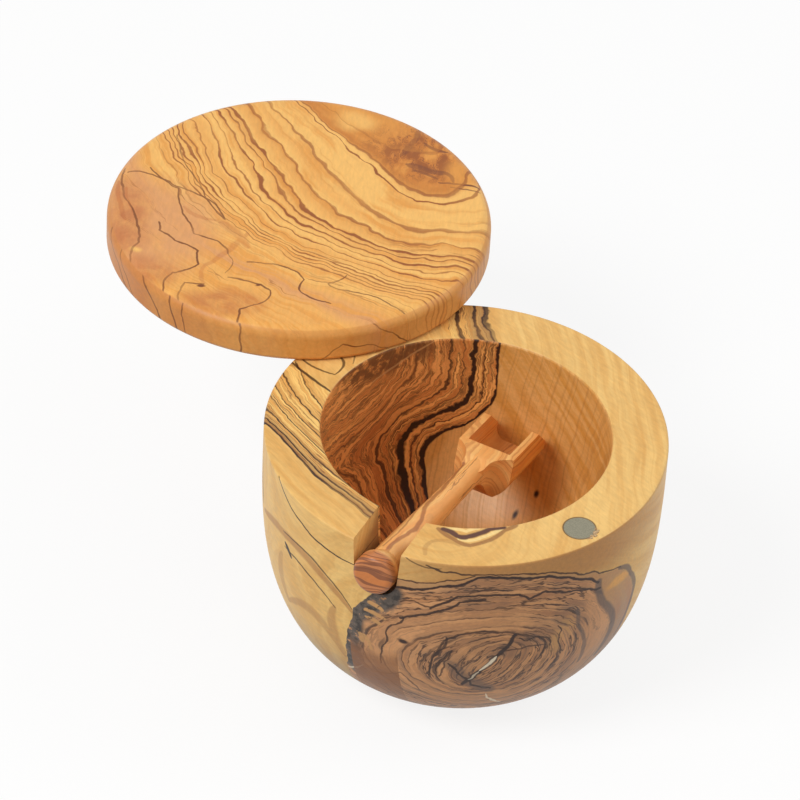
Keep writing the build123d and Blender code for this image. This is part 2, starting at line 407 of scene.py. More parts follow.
bowl = {
    "colours": {"pale": (242, 198, 122), "honey": (228, 176, 100), "underRim": (192, 134, 76),
        "gold": (214, 152, 72), "stripeLight": (250, 204, 120), "stripeDark": (230, 168, 88),
        "heartLight": (222, 162, 110), "heartDark": (180, 126, 86), "heartGlow": (206, 142, 88),
        "loopZone": (180, 138, 100), "smoke": (104, 84, 72), "char": (104, 92, 82), "charDark": (58, 50, 44),
        "barkTan": (206, 154, 98), "insideLight": (252, 184, 102), "insideMid": (246, 170, 94),
        "insideDark": (198, 122, 62), "insidePlain": (232, 178, 106), "sheen": (250, 224, 186),
        "mottle": (112, 70, 40), "line": (54, 32, 22), "plum": (96, 62, 48), "brown": (144, 92, 52),
        "outerBand": (170, 112, 64), "cream": (252, 218, 146), "filler": (250, 232, 202)},
    "growth": {"Pith": (-27.96, -43, 41.17), "Drift": (0.1248, 0, 0.4084), "Turn": 0.5115,
        "Stretch": (1.0827, 1, 0.8352), "Lean": (-0.3723, 0, 0.3654), "Radius": 30, "Taper": 0.00076},
    "facing": math.radians(-130),  # the way the dark heart faces; the cavity is unrolled from the other side
    "wallRadius": 52,
    # streaks: how many to a ring, length, width, amount, seed
    "sapStreaks": (16, 40, 0.02, 0.1, 0),
    "rimStreaks": (30, 30, 0.035, 0.6, 7),
    "heartStreaks": (0.62, 15, 0.03, 0.8, 3),
    "wallStreaks": (0.75, 18, 0.04, 0.8, 11),
    "cavityRadius": 37.1,
    "mouth": (38.2, 38.4),  # between cavity and wall, as a distance from the middle
    "rim": (68.3, 68.45),  # between the wall and the top of the rim, as a height
    "magnet": (0, -45.9, 68.6),
    "slotFacing": math.radians(-153.8),
    "slotHalf": (6.75, 6.65),
    "slotOuter": (50.6, 49.4),
    "slotInner": (20, 30),
    "paintedSheenAt": (27, 22, 15),
    "cavityGrain": (-0.77, 0.64, 0.14),
    # rings: place, width, strength of a line, reach and strength of the colour beside it
    "ringLines": [(1, 0.034, 1, -0.14, 0.9), (0.94, 0.026, 0.85, -0.08, 0.8), (0.84, 0.03, 0.7, -0.06, 0.6),
        (0.7, 0.018, 0.7, -0.05, 0.4), (0.57, 0.02, 0.7, -0.06, 0.4), (0.41, 0.025, 0.8, -0.06, 0.5),
        (0.24, 0.02, 0.7, -0.05, 0.4)],
    # the cavity's figure: its sweep round the wall and by height, and where it starts and sags
    "descent": (0, 49, 0, 32),
    "sweep": (52.5, 22, 0, 18.5),
    "wallStart": 32.4,
    "sagMiddle": 35.6,
    # inner wall: millimetres across the figure, width, strength, reach and strength of the shade
    "wallLines": [(25, 1.3, 1, 1.8, 0.6), (28.4, 0.5, 0.8, 1.2, 0.4), (31.4, 1.9, 1, 2.4, 0.6),
        (33.9, 0.5, 0.6, 1, 0.4), (37.2, 0.9, 0.8, 4, 0.6), (46.5, 0.7, 0.6, 4, 0.5)],
    # outer wall, flat: from and to in millimetres round and up, bow, width, strength
    "outerLines": [((-59, 68.6), (-27.5, 60.2), -3, 0.6, 1), ((-53.8, 48.9), (-33, 42), 2.2, 0.6, 0.9),
        ((-75.4, 60.5), (-71.9, 48), 0, 1.2, 0.9), ((-53.4, 50.6), (-50.4, 47.6), 0, 1.5, 1),
        ((-4.8, 66.4), (-14.5, 68.6), 1, 0.5, 0.7), ((-54.5, 53.6), (-27.6, 44.8), 4.2, 0.7, 0.8)],
    "outerBands": [((-70, 47.4), (-27.6, 44), 7.6, 3, 0.8), ((-55.4, 45), (-54, 29.3), -2, 3.4, 0.5),
        ((-54, 29.3), (-31.2, 24.5), 8, 4, 0.6), ((-33.4, 42.3), (-31, 26), -2, 3.4, 0.6)],
    # the top of the heart at the front, and of the paler wood round it: millimetres round and up
    "heartTop": [(-34.5, 0), (-31.5, 19.5), (-30.6, 25.2), (-29.5, 34.2), (-27.2, 46.2), (-22, 53),
        (-15.5, 57.7), (-4.6, 60.7), (4.7, 64.3), (20.8, 62.8), (29.4, 59.8), (39, 53.2), (42.7, 44),
        (47.2, 37.8), (48.2, 33.2), (50, 0)],
    "zoneTop": [(-17, 0), (-16, 60.5), (-4.7, 62.4), (4, 65), (15.3, 65), (26.3, 62.3), (39.2, 56.4),
        (47.1, 53.4), (52.4, 48.4), (56.3, 39.1), (57.5, 20), (58.5, 0)],
    "heartMiddle": (9.5, 33.5),
    "alongCrack": (0.17, 0.25),
    "besideCrack": (0.62, 0.44),
    "heartRings": [(5.2, 0.4, 0.6, 1, 0.4), (8.4, 0.55, 0.8, 1.4, 0.5), (10.8, 0.4, 0.6, 1, 0.4),
        (13.8, 0.45, 0.7, 1.5, 0.4), (17.4, 0.4, 0.6, 1.2, 0.4), (20.4, 0.5, 0.7, 1.6, 0.4),
        (26.6, 0.45, 0.7, 1.2, 0.4)],
    # points, bow of each run, width, strength
    "frontTrails": [
        ([(-15.5, 57.6), (-4.6, 60.7), (4.7, 64.3), (20.8, 62.8), (29.4, 59.8), (39, 53.4)],
            (-0.4, -0.6, 0.5, 0.2, 0.5), 1, 1),
        ([(-15.9, 60.5), (-4.7, 62.4), (4, 65)], (-0.4, -0.1), 0.45, 0.9),
        ([(-8.7, 67.3), (-3.6, 65.9), (15.3, 65.2), (26.3, 62.6), (39.2, 56.6), (47.1, 53.6)],
            (-0.3, -0.2, 0.3, 0.2, 0.3), 0.6, 0.9),
        ([(-6.7, 53.5), (0.1, 58), (15.8, 58.1), (18, 56.3), (22.5, 57.5), (39.9, 50.9)],
            (-0.3, 0.4, 0, 0, 0.1), 0.8, 0.95),
        ([(-14.3, 47.6), (-2.9, 53.2), (0.7, 56), (6.9, 57.1)], (0.2, -0.2, 0.2), 0.8, 0.95),
        ([(-6.3, 28.1), (-2.6, 42.6), (11.5, 45.6), (23.5, 40.7), (23.5, 34.2)], (0.6, 1.6, 0.4, 0.8), 0.75,
            0.8)],
    "loopTrails": [
        ([(47.1, 53.6), (52.4, 48.4), (56.3, 39.1), (53.9, 24)], (0.9, 0.8, 0.6), 1.7, 0.85),
        ([(39, 53.2), (42.7, 44), (47.2, 37), (46.5, 22)], (-0.6, 0.3, 1.6), 2.8, 0.85),
        ([(33, 47), (34, 41), (37.4, 33.6), (38, 24)], (0.2, 0.3, 0.4), 1.5, 0.7)],
    "charBand": [
        ([(-16.5, 55), (-22.6, 49.2), (-27, 44), (-28.8, 33), (-28, 21)], (0.6, 0.4, 0.3, -0.2), 7.6, 1)],
    "fineTrails": [
        ([(-13.5, 48.3), (-15.2, 44.9), (-17.6, 41.4), (-18.4, 36.3), (-19.8, 28.7)], (0.5, -0.6, 0.4, -0.5),
            0.6, 0.9),
        ([(-1.9, 43.5), (-3.5, 38.8), (-5.6, 33.7), (-6.9, 28.4)], (0.4, -0.3, 0.3), 0.8, 0.85),
        ([(-0.4, 39.2), (-2.3, 34.3), (-3.6, 28.2)], (0.3, 0.3), 0.5, 0.8),
        ([(27.7, 43.9), (28.3, 40.6), (30.1, 32.5)], (0.5, -0.4), 0.5, 0.9),
        ([(17, 42.5), (19, 40.9), (21.1, 41.8), (24.6, 40.6), (25.9, 37.2)], (-0.1, 0.1, 0.3, 0.4), 0.6, 0.9),
        ([(12.1, 38.2), (17.4, 38.4), (24.4, 38.1), (21.7, 31.1)], (0.3, 0.3, 0.5), 0.55, 0.8),
        ([(-14.5, 53.1), (-10.7, 54.6), (-6.7, 53.9), (-1.8, 56.7)], (0.3, -0.2, -0.2), 0.5, 0.8),
        ([(-23.3, 23.9), (-14, 26.8), (-8.6, 20)], (-0.9, 0.4), 0.5, 0.7)],
    "barkScales": [((-23, 49.6), (-18.8, 48.8), 0.4, 1.3, 1), ((-24, 46.9), (-18.4, 45.6), 0.5, 1.5, 1),
        ((-23.6, 44.6), (-19.2, 43.2), 0.4, 1.3, 1), ((-26, 38.4), (-24.6, 34.6), 0.5, 2, 0.9),
        ((-24, 37.6), (-22.4, 33), 0.4, 1.4, 0.9)],
    "crack": [
        ([(15.6, 43.8), (11.4, 37), (2.8, 25.4)], (0.3, 0.3), 1.5, 1),
        ([(-1.2, 33.6), (2.2, 29.3), (5.2, 25.2), (11.1, 22.7)], (0.2, 0.3, 0.4), 0.8, 0.95)],
    "crackShade": [([(-1.2, 33.6), (4.2, 26.4), (11.1, 22)], (0.2, 0.6), 4.2, 0.6)],
    "crackFiller": [((11.2, 36.8), (7.2, 31.2), 0.3, 1.15, 1), ((7.2, 31), (4.2, 27.2), 0.1, 0.6, 0.7),
        ((10, 19.7), (16, 13.2), -0.9, 0.9, 0.9), ((-34, 18.6), (-25.1, 24.4), -0.8, 0.8, 0.7)],
    "rimLines": [((-20.4, 48.4), (-19, 32.4), -0.6, 0.9, 0.9), ((-17.4, 48.6), (-14.4, 37.2), -1, 0.7, 0.8),
        ((-14.4, 37.2), (-8.9, 44.8), -2.4, 0.8, 0.8), ((-8, 38), (-4, 46), -1, 0.5, 0.6)],
    "waveShade": [
        ([(-29.4, -26), (-28.8, -31.7), (-26.7, -35.4), (-15.9, -36), (-12.5, -36)], (-0.2, -0.4, -1.2, 0),
            1.5, 0.75),
        ([(-38, -31.2), (-33.6, -28.9), (-29, -33.6)], (0.9, 0.8), 1.5, 0.3)],
    "waveCream": [
        ([(-27.6, -32), (-24.5, -34.6), (-16, -35)], (-0.3, -0.4), 1.3, 0.9),
        ([(-27.6, -27.2), (-24.3, -31), (-21, -31.6)], (0.3, 0.2), 1.3, 0.9)],
    "waveDark": [
        ([(-28.4, -26.8), (-27.4, -30.9), (-25, -32.7), (-18.8, -33.5), (-15.4, -34.8)],
            (0.3, -0.4, -0.3, 0.1), 1.9, 1)],
    "wallPale": [((9.6, 68), (27.5, 59.6), -0.4, 0.7, 0.6)],
    # ovals: middle, radii, softness
    "goldSpots": [((30.6, 42.4), (2.4, 3.6), 0.5), ((27.4, 38.2), (1.8, 4.2), 0.5)],
    "loopPale": [((47.2, 49.2), (4.4, 1.7), 0.5)],
    "frontKnot": [((-13.2, 39.7), (1.5, 0.8), 0.5)],
    "mottleAt": [((25, 66.5), (17, 6), 0.3)],
    "cavityKnots": [((-20.5, 20.5), (0.9, 0.9), 0.6), ((-24, 26), (0.8, 0.8), 0.6)],
    "look": {"fibre": (1, 0.25, 1), "tone": (0.9, 1.06), "gloss": (0.36, 0.54), "specular": 0.3, "coat": 0.04,
        "coatRoughness": 0.3, "relief": (0.35, 0.0002)},
}


def paintFront(place, bent, flat):  # the front's colour, where it lies, and its long lines
    around, up = parts(flat)[:2]
    aside = minus(around, bowl["heartMiddle"][0])
    above = minus(up, bowl["heartMiddle"][1])
    squash = step(aside, -14, 14, 0.6, 0.7)
    nested = length(joined(times(aside, squash), above, 0))
    along, beside = bowl["alongCrack"], bowl["besideCrack"]
    fromMiddle = plus(times(aside, along[0]), times(above, along[1]))
    fromCrack = minus(times(aside, beside[0]), times(above, beside[1]))
    spindle = length(joined(fromMiddle, fromCrack, 0))
    nearCrack = step(nested, 15, 5)
    rings = plus(times(nested, opposite(nearCrack)), times(spindle, nearCrack))
    streaks = streaked(bent, rings, *bowl["heartStreaks"])
    heart = blend(step(streaks["Tone"], 0.34, 0.68), "heartLight", "heartDark")
    heart = paint(heart, "heartGlow", step(streaks["Fine"], 0.46, 0.34), 0.5)
    heart = paint(heart, "smoke", step(streaks["Fine"], 0.55, 0.68), 0.45)
    calm = times(step(nested, 11.5, 14.5), step(nested, 22, 17.5), step(around, 26, 14))
    heart = paint(heart, "line", streaks["Line"], step(calm, 0, 1, 0.85, 0.3))
    heart = paint(heart, "heartLight", calm, 0.35)
    smoky = strongest([step(noise(bent, 0.08, 2), 0.5, 0.66), step(nested, 30, 38)])
    heart = paint(heart, "smoke", smoky, opposite(calm), 0.3)
    smooth = times(step(around, 33, 38), step(streaks["Fine"], 0.3, 0.7, 0.8, 0.4))
    heart = paint(heart, "heartLight", smooth)
    goldAt = spots(flat, bowl["goldSpots"])
    heart = paint(heart, "barkTan", goldAt, step(streaks["Fine"], 0.62, 0.5), 0.95)
    broken = step(noise(bent, 0.16, 1), 0.34, 0.56, 0.15, 1)
    swell = step(noise(place, 0.12, 1), 0.3, 0.7, 0.5, 1.9)
    heart = paintRingLines(heart, rings, bowl["heartRings"], "smoke", "line", swell, [broken])
    loop = blend(step(streaks["Tone"], 0.35, 0.65), "loopZone", "heartDark")
    loop = paint(loop, "barkTan", step(up, 34, 48), 0.6)
    loop = paint(loop, "stripeDark", spots(flat, bowl["loopPale"]))
    inHeart = step(minus(up, heightAlong(around, bowl["heartTop"])), 0.2, -0.2)
    inZone = step(minus(up, heightAlong(around, bowl["zoneTop"])), 0.2, -0.2)
    front = blend(inHeart, loop, heart)

    # charred bark at the left, with tan scales, and cracks with a pale filler
    charNoise = noise(bent, 0.34, 4, 0.65)
    charColour = blend(step(charNoise, 0.58, 0.4), "char", "charDark")
    charColour = paint(charColour, "heartDark", step(charNoise, 0.58, 0.66))
    charAt = times(trails(flat, bowl["charBand"]), step(charNoise, 0.66, 0.58), inHeart)
    front = paint(front, charColour, charAt)
    front = paint(front, "barkTan", strokes(flat, bowl["barkScales"], 0.35), step(charNoise, 0.4, 0.46))
    front = paint(front, "smoke", trails(flat, bowl["crackShade"]))
    front = paint(front, "line", trails(flat, bowl["crack"] + bowl["fineTrails"]))
    front = paint(front, "filler", strokes(flat, bowl["crackFiller"], 0.95))
    front = paint(front, "line", spots(flat, bowl["frontKnot"]))
    return front, strongest([inHeart, inZone]), trails(flat, bowl["frontTrails"])


def paintCavity(place, bent, gentle, sapStreaks):  # lines run down the wall, then sweep to the slot
    inner = unrolled(gentle, bowl["facing"] + math.pi, bowl["cavityRadius"])
    aroundIn = inner["Around"]
    height = parts(gentle)[2]
    shiftedHeight = minus(height, step(aroundIn, *bowl["descent"], soft=False))
    sweeping = minus(plus(aroundIn, bowl["wallStart"]), step(shiftedHeight, *bowl["sweep"]))
    fromLow = minus(aroundIn, bowl["sagMiddle"])
    sag = times(times(fromLow, fromLow), step(fromLow, -3, 3, 0.03, 0.012))
    slanting = plus(minus(height, sag), 2)
    aside = times(step(aroundIn, 14, 26), step(height, 28, 46))
    jagged = times(minus(noise(bent, 0.3, 2, 0.6), 0.5), 3)
    wall = plus(jagged, plus(times(sweeping, opposite(aside)), times(slanting, aside)))
    wallStreaks = streaked(bent, wall, *bowl["wallStreaks"])
    wallLight = blend(step(wall, 33, 40), "insideLight", "insideMid")
    striping = paintGrain(wallStreaks, wallLight, "insideDark", "line", 0.6, (0.38, 0.66))
    striping = paint(striping, "line", step(wallStreaks["Fine"], 0.56, 0.68), 0.4)
    striping = paint(striping, "insideLight", step(wallStreaks["Fine"], 0.44, 0.34), 0.5)
    widen = step(height, 45, 25, 1, 1.9)
    striping = paintRingLines(striping, wall, bowl["wallLines"], "insideDark", "line", widen)
    mottleNoise = noise(bent, 0.3, 3, 0.6)
    striping = paint(striping, "mottle", spots(inner["Flat"], bowl["mottleAt"]), step(mottleNoise, 0.4, 0.54),
        0.85)
    striping = paint(striping, "barkTan", strokes(inner["Flat"], bowl["wallPale"]))
    isStriped = times(step(sweeping, 24.4, 24.8), step(sweeping, 127, 125), step(height, 14.9, 16.5))
    turning = noise(None, 1.3, 3, across=dot(gentle, bowl["cavityGrain"]), kind="1D")
    plain = blend(step(sapStreaks["Tone"], 0.35, 0.65), "insidePlain", "gold")
    plain = paint(plain, "brown", step(turning, 0.46, 0.7), 0.24)
    # painted highlight: a pale sheen on the cavity floor at the foot of the far wall
    plain = paint(plain, "sheen", near(place, bowl["paintedSheenAt"], 17, 6), step(turning, 0.7, 0.3, 0.35, 0.8))
    plain = paint(plain, "line", spots(inner["Flat"], bowl["cavityKnots"]))
    return blend(isStriped, plain, striping)


def makeBowlWood():
    material, shader = newMaterial("bowlOliveWood", bowl["colours"])
    place = useGroup(placeGroup)["Place"]
    x, y, z = parts(place)
    restless = calc("MAXIMUM", step(z, 66, 50, 0.35, 1), step(y, 22, 34, 0.35, 1.1))  # calmer at the rim
    bent = warped(place, slow=(30, 2.5), quick=(6, times(restless, 1.1)), fine=(1.6, times(restless, 0.35)))
    gentle = warped(place, slow=(30, 0.6), quick=(7, 0.5), fine=(1.6, 0.12))
    rings = useGroup(ringsGroup, Place=bent, **bowl["growth"])["Rings"]
    fibre = useGroup(fibreGroup, Place=place, Along=bowl["look"]["fibre"])
    radius = length(flattened(place))
    belowRim = step(z, bowl["rim"][1], bowl["rim"][0])
    inside = times(step(radius, bowl["mouth"][1], bowl["mouth"][0]), belowRim)
    onTop = step(z, *bowl["rim"])
    outside = times(step(radius, *bowl["mouth"]), belowRim)
    outer = unrolled(gentle, bowl["facing"], bowl["wallRadius"])
    ragged = warped(place, slow=(30, 0.3), quick=(4.5, 0.8), fine=(1.5, 0.3), seed=(3, 9, 4))
    frontFlat = unrolled(ragged, bowl["facing"], bowl["wallRadius"])["Flat"]
    sideways = outer["Around"]
    toFront = times(outside, step(sideways, -60, -58), step(sideways, 104, 100))

    # the sapwood: pale, with soft streaks
    sapStreaks = streaked(place, rings, *bowl["sapStreaks"])
    sap = blend(step(sapStreaks["Tone"], 0.34, 0.66), "pale", "honey")
    sap = paint(sap, "gold", step(sapStreaks["Fine"], 0.5, 0.75), 0.35)
    sap = paint(sap, "gold", onTop, step(x, 0, -34), 0.3)
    # painted shade: a browner band on the outside just under the rim, towards the front
    sap = paint(sap, "underRim", outside, step(z, 50, 62), step(sideways, -34, 8), step(sideways, 84, 36),
        0.9)
    # painted shade: the outside darker and greyer towards the bottom, except at the left
    sap = paint(sap, "smoke", outside, step(z, 32, 10), step(sideways, -66, -46), 0.5)
    sap = paint(sap, "outerBand", outside, strokes(outer["Flat"], bowl["outerBands"]), 0.8)
    sap = paint(sap, "line", outside, strokes(outer["Flat"], bowl["outerLines"]))

    # the heart: striped on the rim and at the back, restless at the front
    rimStreaks = streaked(bent, rings, *bowl["rimStreaks"])
    core = paintGrain(rimStreaks, "stripeLight", "stripeDark", "brown", 0.85)
    core = paint(core, "brown", step(rimStreaks["Fine"], 0.54, 0.66), 0.45)
    lines = []
    for at, width, strength, reach, shade in bowl["ringLines"]:
        line = useGroup(ringLineGroup, Rings=rings, At=at, Width=width, Fade=reach)
        core = paint(core, "brown", line["Band"], shade)
        lines.append(times(line["Line"], strength))
    dark = strongest(lines)
    fade = step(noise(place, 0.06, 1), 0.3, 0.6, 0.45, 1)
    core = paint(core, "line", dark, fade)
    isHeart = times(step(rings, 1, 0.992), opposite(toFront))
    wood = blend(isHeart, sap, core)
    wood = paint(wood, "line", dark, fade, step(rings, 1.07, 1.05), opposite(toFront))
    front, isFront, frontLines = paintFront(place, bent, frontFlat)
    # painted shade: the front darker towards the bottom on its right-hand part
    front = paint(front, "smoke", step(z, 40, 16), step(sideways, 22, 44), 0.4)
    wood = paint(wood, front, isFront, toFront)
    wood = paint(wood, "smoke", toFront, trails(outer["Flat"], bowl["loopTrails"]))
    wood = paint(wood, "line", toFront, frontLines)

    # the slot's sides, browner towards the cavity and the floor: partly the wood's figure, partly painted
    # shade in the slot
    outward, beside = parts(turned(place, "Z_AXIS", -bowl["slotFacing"]))[:2]
    inSlot = times(outside, step(calc("ABSOLUTE", beside), *bowl["slotHalf"]),
        step(outward, *bowl["slotOuter"]), step(outward, *bowl["slotInner"]))
    slotFigureAndShade = step(calc("MULTIPLY_ADD", outward, 0.6, z), 96, 86)
    wood = paint(wood, "brown", inSlot, slotFigureAndShade, step(fibre["Cloud"], 0.3, 0.6, 0.55, 0.9))

    # the pale back of the rim with its few curved lines, and the wavy line at the front
    backPale = times(onTop, step(x, -20, -19.2), step(x, 21, 20), step(y, 10, 12))
    wood = paint(wood, sap, backPale, 0.9)
    rimPlace = flattened(gentle)
    wood = paint(wood, sap, onTop, step(y, -20, -22))
    for colour, wave in (("brown", "waveShade"), ("cream", "waveCream"), ("plum", "waveDark")):
        wood = paint(wood, colour, onTop, trails(rimPlace, bowl[wave]))
    wood = paint(wood, "line", onTop, strokes(rimPlace, bowl["rimLines"]))
    wood = paint(wood, "line", near(place, bowl["magnet"], 4.5, 4.2), 0.75)

    wood = paint(wood, paintCavity(place, bent, gentle, sapStreaks), inside)
    finishWood(shader, wood, fibre, bowl["look"])
    rough = noise(place, 0.9, 3, 0.6)
    surface = plus(times(fibre["Fibre"], 0.5), times(rough, times(toFront, 0.4)))
    relief(shader, minus(surface, times(fibre["Pore"], 0.4)), *bowl["look"]["relief"])
    return material


finishPiece(nodes["bowl"], makeBowlWood())
print("bowl finished")


glue = {
    "colours": {"light": (214, 186, 138), "dark": (144, 92, 52)},
    "turnFrom": -98,
    "turnTo": -38,
    "distance": 4.35,
    "rise": 0.2,
    "wander": 0.3,
    "turns": 17,
    "lumpiness": 0.35,
    "squash": 0.8,
    "relief": (0.3, 0.0001),
    "crumbs": [(0, 0.34), (0.16, 0.5), (0.3, 0.42), (0.44, 0.62), (0.58, 0.5), (0.72, 0.7), (0.86, 0.48),
        (1, 0.36)],
}


def makeGlueCrumbs():  # dried glue squeezed out beside the magnet
    shape = bmesh.new()
    for share, size in glue["crumbs"]:
        angle = math.radians(glue["turnFrom"] + (glue["turnTo"] - glue["turnFrom"]) * share)
        distance = glue["distance"] + glue["wander"] * math.sin(share * glue["turns"])
        where = Vector((math.cos(angle), math.sin(angle), 0)) * distance
        made = bmesh.ops.create_icosphere(shape, subdivisions=3, radius=size)["verts"]
        for point in made:
            lumpy = 1 + glue["lumpiness"] * mathutils.noise.noise(point.co * 3 + where)
            above = max(point.co.z, 0) / size * glue["rise"]
            spread = Vector((point.co.x, point.co.y * glue["squash"], above * glue["squash"])) * lumpy
            point.co = (spread + where + Vector(bowl["magnet"])) * mm
    mesh = bpy.data.meshes.new("glueCrumbsMesh")
    shape.to_mesh(mesh)
    shape.free()
    mesh.shade_smooth()
    piece = bpy.data.objects.new("glueCrumbs", mesh)
    scene.collection.objects.link(piece)
    material, shader = newMaterial("driedGlue", glue["colours"])
    grainy = noise(useGroup(placeGroup)["Place"], 3, 3, 0.6)
    feedNamed(shader, {"Base Color": blend(step(grainy, 0.35, 0.65), "light", "dark"),
        "Roughness": step(grainy, 0.2, 0.8, 0.25, 0.5)})
    relief(shader, grainy, *glue["relief"])
    mesh.materials.append(material)
    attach(piece, "bowl")


makeGlueCrumbs()
print("glue crumbs made")


